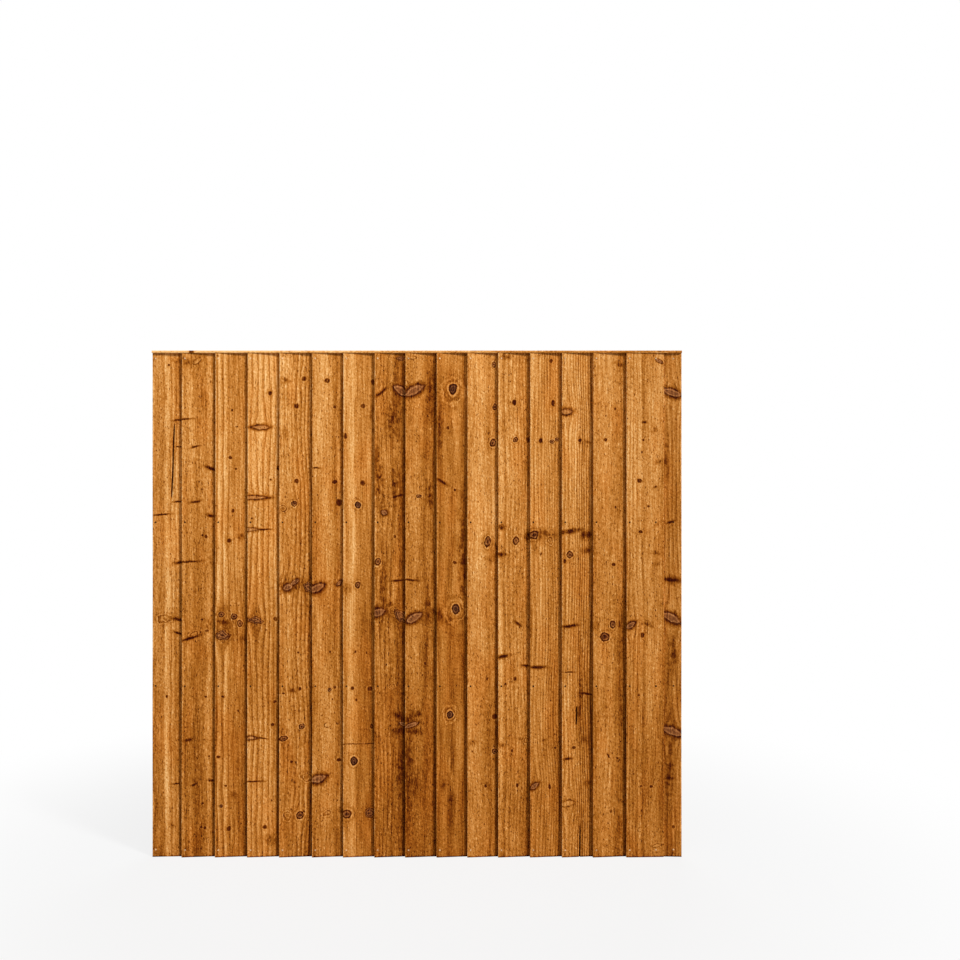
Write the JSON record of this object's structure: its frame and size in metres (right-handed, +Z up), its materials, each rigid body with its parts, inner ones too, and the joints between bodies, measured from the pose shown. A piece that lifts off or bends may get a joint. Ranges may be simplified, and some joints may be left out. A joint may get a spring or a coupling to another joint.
{
  "type": "closeboard fence panel",
  "caption": "Upright fence panel of lapped feather-edge timber boards nailed to a rear frame of stiles and rails, with a thin capping strip along the top edge.",
  "frame": {"origin": "middle of the panel's foot: half way along its width and half way through its depth, at its lowest edge", "axes": "+X along the fence to the right as the boarded face is seen, +Y from the boarded face towards the frame's back, +Z up"},
  "size_m": [1.83, 0.0514, 1.75],
  "materials": {
    "board_timber": "sawn softwood, golden-brown dip treatment",
    "frame_timber": "sawn softwood batten, golden-brown dip treatment",
    "capping_timber": "planed softwood strip, golden-brown dip treatment",
    "nail_steel": "dull galvanised wire"
  },
  "bodies": {
    "root": {"feather_board_01": "board_timber", "feather_board_02": "board_timber", "feather_board_03": "board_timber", "feather_board_04": "board_timber", "feather_board_05": "board_timber", "feather_board_06": "board_timber", "feather_board_07": "board_timber", "feather_board_08": "board_timber", "feather_board_09": "board_timber", "feather_board_10": "board_timber", "feather_board_11": "board_timber", "feather_board_12": "board_timber", "feather_board_13": "board_timber", "feather_board_14": "board_timber", "feather_board_15": "board_timber", "feather_board_16": "board_timber", "closing_strip": "board_timber", "left_stile": "frame_timber", "right_stile": "frame_timber", "bottom_rail": "frame_timber", "lower_rail": "frame_timber", "upper_rail": "frame_timber", "top_rail": "frame_timber", "capping": "capping_timber", "board_nails": "nail_steel", "frame_brads": "nail_steel", "capping_brads": "nail_steel"}
  },
  "joints": []
}
